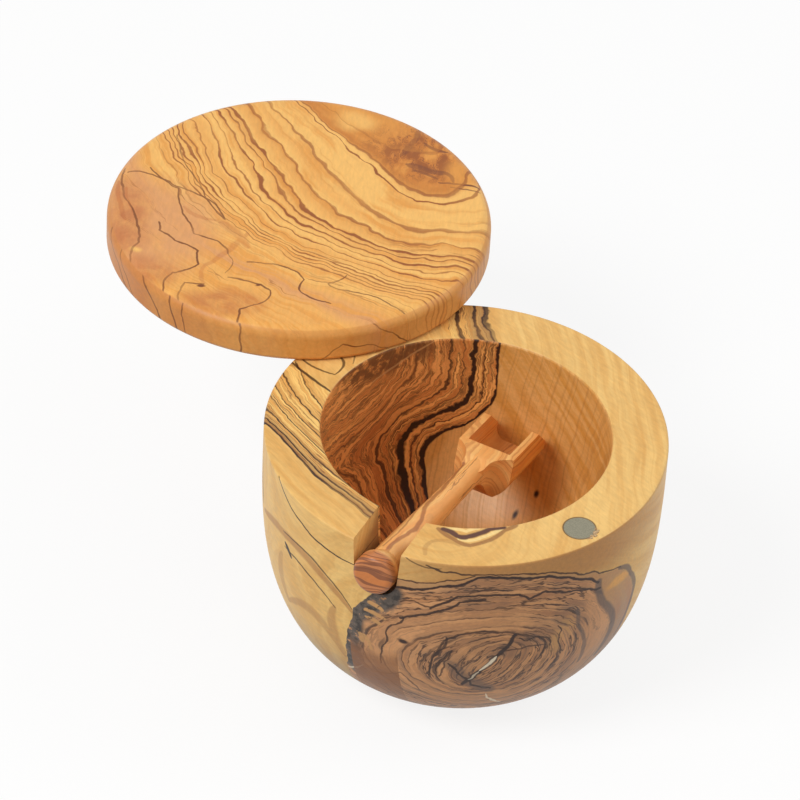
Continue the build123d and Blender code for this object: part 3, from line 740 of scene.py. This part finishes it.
lid = {
    "centre": (12.9, 89.3, 78.9),
    "turn": math.radians(40.9),
    "middle": (0.03, -2.11, 0),
    "radius": 51.3,
    "front": math.radians(-90),
    "steep": (-0.015646, -0.00625, 0.425453),
    "shallow": (-0.015018, -0.034795, 0.193809),
    "knee": 0.7025,
    "curve": (0.000198, 0.000149, -0.00002),
    "colours": {"light": (248, 192, 108), "peach": (240, 176, 94), "gold": (232, 160, 76),
        "amber": (216, 142, 62), "deep": (192, 112, 46), "pink": (224, 160, 104), "rust": (188, 106, 56),
        "edge": (214, 144, 72), "brown": (154, 86, 38), "plum": (112, 60, 40), "line": (118, 66, 30)},
    # rings: place, width, strength of a line, reach and strength of the colour beside it
    "ringLines": [(0.075, 0.004, 0.4, -0.02, 0.4), (0.117, 0.004, 0.8, -0.03, 0.8),
        (0.132, 0.0036, 1, 0.004, 0.3), (0.24, 0.016, 0.7, 0.03, 0.6), (0.352, 0.014, 0.75, 0.06, 0.9),
        (0.443, 0.016, 1, 0.045, 0.9), (0.485, 0.01, 0.85, 0.02, 0.7), (0.55, 0.016, 1, 0.04, 0.85),
        (0.61, 0.009, 0.75, 0.015, 0.7), (0.68, 0.013, 0.95, -0.03, 0.7), (0.76, 0.007, 0.7, 0.02, 0.6),
        (0.82, 0.009, 0.8, 0.02, 0.6), (0.858, 0.013, 0.95, 0.03, 0.7), (0.9, 0.01, 0.9, 0.02, 0.6),
        (0.94, 0.009, 0.85, -0.015, 0.6), (0.985, 0.012, 0.9, 0.02, 0.6), (1.07, 0.009, 0.8, 0.012, 0.5)],
    # the colour at each ring value, laid out over a ramp
    "rampFrom": -0.15,
    "rampSpan": 1.75,
    "stops": [(-0.1, "deep"), (0, "amber"), (0.04, "gold"), (0.08, "amber"), (0.112, "deep"), (0.12, "light"),
        (0.2, "light"), (0.25, "light"), (0.3, "peach"), (0.34, "light"), (0.4, "peach"), (0.44, "light"),
        (0.5, "peach"), (0.54, "light"), (0.66, "light"), (0.74, "peach"), (0.84, "light"), (0.96, "peach"),
        (1.1, "light"), (1.25, "peach"), (1.4, "pink"), (1.55, "peach")],
    # lines on the face and round the edge: points, bow of each run, width, strength
    "trails": [
        ([(-47.9, 11), (-46.3, -3.2), (-41.3, -20.9), (-42.2, -30.9), (-38.6, -38)], (-1, 1.2, -1.2, 0.2),
            0.68, 0.85),
        ([(-41.3, 11.6), (-33, 3.7), (-29.1, -9.9), (-26.8, -15.3), (-20.4, -18), (-17.4, -22.8)],
            (-0.6, -0.7, 0.2, -0.3, 0.4), 0.6, 0.9),
        ([(-47, 9.1), (-43.8, 9.9), (-33.1, 4.5), (-22.3, -2.1), (-19.7, -7.9)], (0.2, 0.4, 0.5, 0.3), 0.6,
            0.85),
        ([(-36.9, -11.7), (-36.1, -15.1), (-31.7, -18.9), (-25.3, -22.5), (-24.5, -28.4), (-31.2, -33),
            (-32.9, -41.5)], (0.2, 0.3, 0.2, -0.4, 0.5, -0.9), 0.64, 0.95),
        ([(-22.8, -36.6), (-27.5, -36.8), (-28.2, -46.1)], (0.1, -1), 0.6, 0.8),
        ([(-17.4, -22.8), (-15.8, -26.5), (-17.4, -31.4)], (0.2, 0.3), 0.34, 0.7),
        ([(-16.5, -32.9), (-8.5, -34.9), (-5.1, -37.5), (-8.6, -43.4), (-12.1, -45.8), (-12.4, -51.5)],
            (0.1, 0.3, 1.3, 0.2, -0.2), 0.56, 0.95),
        ([(14.4, -28.8), (10, -32.8), (14.1, -35.2), (23.1, -36.7), (35, -44.5)], (0.4, -0.5, 0.4, -0.6),
            0.52, 0.95),
        ([(-12.2, -25.9), (-0.7, -27.2), (3.6, -31.8), (2.9, -37), (10.7, -40.9)], (0.4, 0.5, -0.8, -0.7),
            0.56, 0.95),
        ([(-35.2, 27.2), (-30.9, 12.7), (-25.7, 1.4), (-19.5, -8.5)], (-0.8, 0.4, -0.3), 0.5, 0.8)],
    "bands": [((-49, 5.3), (-45.6, -11.5), -1, 1.4, 1), ((-47, 2), (-43.6, -9), -0.5, 1.1, 0.9),
        ((-13.1, -14.1), (-22.9, -28.6), 0.6, 2, 0.75), ((-22.9, -28.6), (-22.8, -36.6), -0.6, 1.3, 0.7),
        ((-20.5, -10), (-12.5, -19.5), 0.8, 3, 0.8), ((-30.6, -4), (-21.5, -9), -1.4, 1.4, 0.7)],
    "veins": [((30, 36.8), (25.2, 25), 0.6, 2.2, 0.5), ((31.7, 31.3), (37.6, 28.4), -0.8, 1.4, 0.8),
        ((27.5, 21.5), (37, 18), 0.4, 2.6, 0.7), ((29.6, 19.2), (36.2, 15.8), 0.3, 1.2, 0.8),
        ((35.4, 19.4), (40.6, 15), 1.2, 1.6, 0.7), ((36.7, 14.4), (47.6, 13.3), 0.5, 0.9, 1),
        ((39.5, 12.9), (47.6, 11.6), 0.1, 0.6, 0.8)],
    # round the edge, flat: millimetres round it from the front, and height
    "edgeTrails": [
        ([(-46.5, 78.9), (-41.4, 75.6), (-36, 68.9)], (0.3, 0.4), 0.6, 0.9),
        ([(-34.8, 78.9), (-33, 76.3), (-30.2, 68.9)], (0.2, 0.2), 0.6, 0.9),
        ([(-29.8, 78.9), (-28.9, 74.8), (-27.6, 68.9)], (0.2, 0.1), 0.52, 0.8),
        ([(-12.6, 78.9), (-11.9, 75.6), (-11.4, 72.4), (-11.6, 68.9)], (0.3, -0.2, 0.1), 0.6, 0.95),
        ([(23.5, 78.9), (29, 74.3), (34.5, 69.5)], (-0.4, -0.3), 0.45, 0.9),
        ([(9.5, 68.9), (15.5, 74), (21.9, 72.4), (28, 69.4)], (0.4, -0.5, 0.3), 0.45, 0.9),
        ([(-68, 78), (-57.7, 74.3), (-49.5, 68.9)], (-0.5, -0.4), 0.68, 0.8),
        ([(-58, 78.9), (-52, 73.5), (-46, 68.9)], (-0.5, -0.3), 0.52, 0.7)],
    "edgeBands": [((-2, 78.5), (-8, 68.9), 0.5, 2.2, 0.6), ((20, 78), (13, 70), 0.4, 2.4, 0.6),
        ((-24, 78), (-22, 68.9), 0.4, 3.6, 0.5)],
    "streaks": (15, 34, 0.026, 0.3, 5),
    "burrRim": (0.121, 0.113),  # as a ring value
    "faceRim": (50.4, 50),  # between the face and the edge, as a distance from the middle
    "pinkMiddle": (-42, -14, 0),
    # ovals: middle, radii, softness
    "rustSpots": [((-46, -13), (6, 16), 0.5), ((-17, -43), (10, 5), 0.5), ((-37, -33), (7, 6), 0.6)],
    "paintedGlint": [((-41.8, -24), (1.2, 0.9), 0.9)],
    "burr": [((33, 26), (17, 13), 0.6)],
    "burrGold": [((44, 19.5), (5.5, 6), 0.5)],
    "burrLight": [((12.5, 39.5), (5, 4), 0.5)],
    "knots": [((-23.2, -37.4), (1.1, 0.6), 0.4), ((-8.2, -35.3), (0.7, 0.5), 0.5)],
    "look": {"fibre": (1, 0.25, 1), "tone": (0.92, 1.05), "gloss": (0.36, 0.52), "specular": 0.3,
        "coat": 0.04, "coatRoughness": 0.3, "relief": (0.3, 0.00015)},
}


def roundEdge(place):  # the lid's edge laid flat, with heights as on the closed box
    moved = vector("ADD", less(place, lid["middle"]), (0, 0, lid["centre"][2]))
    return unrolled(moved, lid["front"], lid["radius"])["Flat"]


def makeLidWood():
    material, shader = newMaterial("lidOliveWood", lid["colours"])
    place = useGroup(placeGroup, Centre=lid["centre"], Turn=lid["turn"])["Place"]
    bent = warped(place, slow=(24, 3), quick=(8, 2.1), fine=(2.4, 0.42))
    ragged = warped(place, slow=(30, 0), quick=(5, 0.8), fine=(1.7, 0.22), seed=(7, 3, 1))
    x, y = parts(bent)[:2]
    flows = [plus(dot(bent, (a, b, 0)), c) for a, b, c in (lid["steep"], lid["shallow"])]
    knee = calc("SMOOTH_MAX", *flows, lid["knee"])
    squares = vector("MULTIPLY", joined(x, x, y), joined(x, y, y))
    rings = plus(knee, dot(squares, lid["curve"]))
    flat = flattened(ragged)
    onFace = step(length(flattened(less(place, lid["middle"]))), *lid["faceRim"])
    onEdge = opposite(onFace)

    start, span = lid["rampFrom"], lid["rampSpan"]
    stops = [((value - start) / span, colour) for value, colour in lid["stops"]]
    wood = ramp(calc("MULTIPLY_ADD", rings, 1 / span, -start / span), stops)
    streaks = streaked(place, rings, *lid["streaks"])
    wood = paint(wood, "gold", step(streaks["Tone"], 0.48, 0.62), 0.85)
    wood = paint(wood, "amber", step(streaks["Fine"], 0.54, 0.7), 0.45)

    # clouded pinkish wood towards the left, with rusty patches
    cloud = noise(bent, 0.13, 4, 0.6)
    pinkAt = near(flattened(bent), lid["pinkMiddle"], 27, 14)
    wood = paint(wood, "pink", pinkAt, step(cloud, 0.3, 0.6, 0.55, 0.95))
    wood = paint(wood, "rust", spots(bent, lid["rustSpots"]), step(cloud, 0.3, 0.65, 0.4, 1), 0.7)
    # painted highlight: a small pale glint near the left edge
    wood = paint(wood, "light", spots(flat, lid["paintedGlint"]))

    # the reddish burr at the far right
    burrCloud = noise(vector("MULTIPLY", bent, (1.6, 0.8, 1)), 0.16, 4, 0.62)
    burrAt = times(spots(bent, lid["burr"]), step(rings, *lid["burrRim"]))
    wood = paint(wood, "deep", burrAt, 0.8)
    wood = paint(wood, "gold", burrAt, step(burrCloud, 0.5, 0.68), 0.8)
    wood = paint(wood, "brown", burrAt, step(burrCloud, 0.5, 0.4), 0.9)
    wood = paint(wood, "plum", burrAt, step(calc("ABSOLUTE", minus(burrCloud, 0.49)), 0.014, 0.004), 0.7)
    wood = paint(wood, "gold", spots(flat, lid["burrGold"]))
    wood = paint(wood, "light", spots(bent, lid["burrLight"]), 0.8)
    wood = paint(wood, "plum", onFace, strokes(flat, lid["veins"]), step(cloud, 0.3, 0.6, 0.75, 1))

    # the lines along the grain, and the ones that cross it, on the face and round the edge
    wood = paint(wood, "brown", streaks["Line"], 0.7)
    calmer = opposite(step(rings, 1.02, 1.12, 0, 0.9))
    swell = step(noise(place, 0.085, 1), 0.3, 0.68, 0.6, 2)
    paler = step(noise(place, 0.05, 1), 0.3, 0.6, 0.65, 1)
    wood = paintRingLines(wood, rings, lid["ringLines"], "amber", "brown", swell, [calmer], [paler])
    faceBand = times(onFace, strokes(flat, lid["bands"], 0.4))
    edgeBand = times(onEdge, 0.6, strokes(roundEdge(ragged), lid["edgeBands"], 0.4))
    wood = paint(wood, "rust", strongest([faceBand, edgeBand]), 0.5)
    # painted shade: the lid's side deeper and warmer in colour, and redder towards its lower left
    wood = paint(wood, "edge", onEdge, 0.6)
    wood = paint(wood, "rust", onEdge, step(parts(place)[1], 4, -34), step(parts(place)[0], -6, -30), 0.3)
    faceLine = times(onFace, trails(flat, lid["trails"]))
    edgeLine = times(onEdge, trails(roundEdge(ragged), lid["edgeTrails"]))
    wood = paint(wood, "line", strongest([faceLine, edgeLine]),
        step(noise(place, 0.11, 1), 0.35, 0.6, 0.6, 1))
    wood = paint(wood, "line", spots(flat, lid["knots"]))
    fibre = useGroup(fibreGroup, Place=place, Along=lid["look"]["fibre"])
    finishWood(shader, wood, fibre, lid["look"])
    relief(shader, minus(fibre["Fibre"], times(fibre["Pore"], 0.5)), *lid["look"]["relief"])
    return material


finishPiece(nodes["lid"], makeLidWood())
print("lid finished")


spoon = {
    "centre": (-48.72, -23.97, 60.83),
    "turn": math.radians(-26.2),
    "tilt": math.radians(-10),
    "pith": (0, 9, -11),
    "streaks": (0.55, 70, 0.009, 0.45, 2),
    "knobEnd": (5, 2.5),
    "knobGrain": (0.7, 0.12, 0.7),
    "knobStreaks": (0.42, 60, 0.04, 0.8, 8),
    "look": {"fibre": (0.25, 1, 1), "tone": (0.94, 1.04), "gloss": (0.34, 0.5), "specular": 0.35,
        "coat": 0.08, "coatRoughness": 0.28, "relief": (0.25, 0.00012)},
    "colours": {"light": (255, 200, 124), "peach": (246, 172, 96), "deep": (202, 122, 64),
        "shade": (158, 92, 52), "line": (122, 60, 32), "knob": (196, 126, 80), "knobStripe": (120, 70, 46),
        "knobFootShade": (112, 96, 84)},
    # along the handle and across it: points, bow of each run, width, strength
    "trails": [
        ([(5, -1), (18, -1.6), (30, -0.2), (44, 1.4), (60, 2.4)], (0.5, -0.5, 0.3, 0.2), 1.3, 0.75),
        ([(9, 1.2), (24, 1.4), (40, 2.2)], (-0.4, 0.3), 0.7, 0.6)],
}


def makeSpoonWood():
    material, shader = newMaterial("spoonOliveWood", spoon["colours"])
    place = useGroup(placeGroup, Centre=spoon["centre"], Turn=spoon["turn"])["Place"]
    level = turned(place, "Y_AXIS", spoon["tilt"])
    bent = warped(level, slow=(20, 1.4), quick=(5, 0.5), fine=(1.6, 0.12))
    x, z = parts(bent)[::2]
    across = length(vector("MULTIPLY", less(bent, spoon["pith"]), (0.05, 1, 1)))
    streaks = streaked(bent, across, *spoon["streaks"])
    wood = blend(step(streaks["Tone"], 0.34, 0.62), "light", "peach")
    wood = paint(wood, "deep", step(streaks["Fine"], 0.5, 0.66), 0.6)
    wood = paint(wood, "line", streaks["Line"], 0.7)
    topSide = times(step(parts(level)[2], -1.5, 0.5), step(x, 5, 9))
    wood = paint(wood, "shade", topSide, trails(flattened(bent), spoon["trails"]))
    wood = paint(wood, "shade", step(z, -3, -7), step(x, 8, 14), 0.4)
    knobEnd = step(x, *spoon["knobEnd"])
    wave = calc("MULTIPLY_ADD", noise(place, 0.12, 1), 3, dot(place, spoon["knobGrain"]))
    stripes = streaked(place, wave, *spoon["knobStreaks"])
    knob = blend(step(stripes["Tone"], 0.36, 0.6), "knob", "deep")
    knob = paint(knob, "knobStripe", step(stripes["Fine"], 0.54, 0.64), 0.75)
    knob = paint(knob, "knobStripe", stripes["Line"], 0.8)
    # painted shade: the knob greyer and darker towards its bottom
    knob = paint(knob, "knobFootShade", step(parts(place)[2], -5.6, -9, 0, 0.8))
    wood = paint(wood, knob, knobEnd)
    fibre = useGroup(fibreGroup, Place=level, Along=spoon["look"]["fibre"])
    finishWood(shader, wood, fibre, spoon["look"])
    relief(shader, fibre["Fibre"], *spoon["look"]["relief"])
    return material


finishPiece(nodes["spoon"], makeSpoonWood())


metal = {
    "magnetColour": tint(150, 145, 124),
    "steelColour": tint(176, 176, 178),
    "wear": 0.8,
    "relief": (0.15, 0.0001),
}


def makeMetal(name, colour, roughness, metallic):
    material, shader = newMaterial(name)
    place = useGroup(placeGroup)["Place"]
    speckle = noise(place, 3, 3, 0.6)
    worn = tuple(part * metal["wear"] for part in colour[:3]) + (1,)
    feedNamed(shader, {"Base Color": blend(step(speckle, 0.35, 0.7), colour, worn), "Metallic": metallic,
        "Roughness": step(speckle, 0.2, 0.8, roughness, roughness + 0.15)})
    relief(shader, speckle, *metal["relief"])
    return material


magnetMetal = makeMetal("magnetFace", metal["magnetColour"], 0.5, 0.5)
for name in ("bowl_magnet", "lid_magnet"):
    finishPiece(nodes[name], magnetMetal)
finishPiece(nodes["pivot_pin"], makeMetal("pinSteel", metal["steelColour"], 0.3, 1))
print("spoon, pin and magnets finished")


stage = {
    "floorColour": tint(250, 250, 249),
    "floorBounce": tint(180, 180, 178),
    "floorSize": 4,
    "floorGlow": 0.84,  # how much of the floor is plain white where it is seen directly
    "ambient": 0.45,
    "lampAim": (0, 0.03, 0.05),
    # place, size, power
    "keyLight": ((-1, 0.1, 1.15), 0.7, 13),
    "fillLight": ((0.9, -0.5, 0.7), 0.9, 4),
}


def seenDirectly():  # 1 for what the camera sees, or a mirror or a glass
    path = add("LightPath")
    return strongest([path.outputs["Is %s Ray" % kind] for kind in ("Camera", "Glossy", "Transmission")])


def makeFloor():
    mesh = bpy.data.meshes.new("floorMesh")
    half = stage["floorSize"] / 2
    mesh.from_pydata([(-half, -half, 0), (half, -half, 0), (half, half, 0), (-half, half, 0)], [],
        [(0, 1, 2, 3)])
    floor = bpy.data.objects.new("studioFloor", mesh)
    scene.collection.objects.link(floor)
    material, shader = newMaterial("paleFloor")
    output = material.node_tree.nodes["Material Output"]
    material.node_tree.nodes.remove(shader)
    matte, white = add("BsdfDiffuse"), add("Emission", (1, 1, 1, 1), 1)
    direct = seenDirectly()
    feed(blend(direct, stage["floorBounce"], stage["floorColour"]), matte.inputs["Color"])
    mix = add("MixShader", times(direct, stage["floorGlow"]), matte.outputs[0], white.outputs[0])
    feed(mix.outputs[0], output.inputs["Surface"])
    mesh.materials.append(material)


def makeWorld():
    world = bpy.data.worlds.new("studio")
    scene.world = world
    world.use_nodes = True
    drawing["tree"] = world.node_tree
    background = world.node_tree.nodes["Background"]
    feed(step(seenDirectly(), 0, 1, stage["ambient"], 1, soft=False), background.inputs["Strength"])
    background.inputs["Color"].default_value = (1, 1, 1, 1)


def makeLamp(name):
    place, size, power = stage[name]
    lamp = bpy.data.lights.new(name, "AREA")
    lamp.shape = "DISK"
    lamp.size = size
    lamp.energy = power
    holder = bpy.data.objects.new(name, lamp)
    holder.location = place
    holder.rotation_euler = (Vector(stage["lampAim"]) - Vector(place)).to_track_quat("-Z", "Y").to_euler()
    scene.collection.objects.link(holder)


camera = {
    "aim": (-0.001324, 0.025746, 0.06174),
    "distance": 1.30041,
    "azimuth": -129.877,
    "elevation": 39.709,
    "roll": 3.566,
    "lens": 225,
    "sensor": 36,
    "clip": (0.05, 20),
}


def makeCamera():
    data = bpy.data.cameras.new("studioCamera")
    data.lens = camera["lens"]
    data.sensor_width = camera["sensor"]
    data.clip_start, data.clip_end = camera["clip"]
    holder = bpy.data.objects.new("studioCamera", data)
    azimuth, elevation = math.radians(camera["azimuth"]), math.radians(camera["elevation"])
    level = math.cos(elevation)
    back = Vector((math.cos(azimuth) * level, math.sin(azimuth) * level, math.sin(elevation)))
    aim = (-back).to_track_quat("-Z", "Y").to_matrix()
    roll = Matrix.Rotation(math.radians(camera["roll"]), 3, "Z")
    place = Vector(camera["aim"]) + back * camera["distance"]
    holder.matrix_world = Matrix.LocRotScale(place, (aim @ roll).to_quaternion(), None)
    scene.collection.objects.link(holder)
    scene.camera = holder


makeFloor()
makeWorld()
makeLamp("keyLight")
makeLamp("fillLight")
makeCamera()
scene.view_settings.view_transform = "Standard"
print("floor, light and camera ready")
